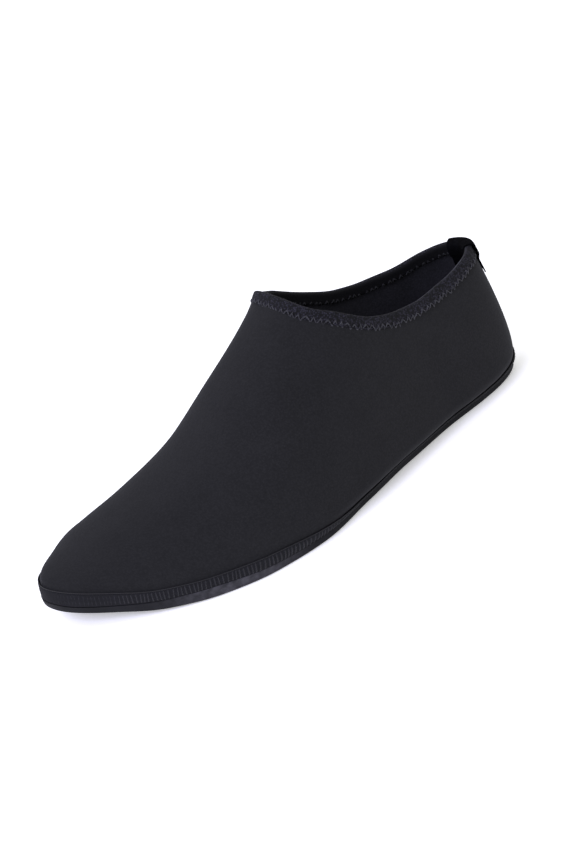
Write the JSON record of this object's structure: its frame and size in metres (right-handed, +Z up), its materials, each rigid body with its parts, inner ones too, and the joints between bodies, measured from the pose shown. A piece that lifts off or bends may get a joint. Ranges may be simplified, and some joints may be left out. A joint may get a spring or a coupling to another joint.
{
  "type": "water shoe",
  "caption": "Slip-on water shoe with a stretch neoprene upper, folded collar binding, heel tab, stitched seam band and thin flexible rubber sole.",
  "frame": {"origin": "middle of the underside of the bounding box, on the floor under the shoe", "axes": "+X towards the toe, +Y towards the outer side of the foot, +Z up"},
  "size_m": [0.2528, 0.101, 0.0941],
  "materials": {
    "neoprene": "matt stretch jersey over foam",
    "rubber_sole": "matt moulded",
    "foam_liner": "matt jersey over foam",
    "binding_tape": "knitted, folded",
    "seam_thread": "overlocked thread",
    "tab_tape": "smooth woven"
  },
  "bodies": {
    "root": {"upper": "neoprene", "sole": "rubber_sole", "insole": "foam_liner", "collar_binding": "binding_tape", "seam_band": "seam_thread", "heel_tab": "tab_tape"}
  },
  "joints": []
}
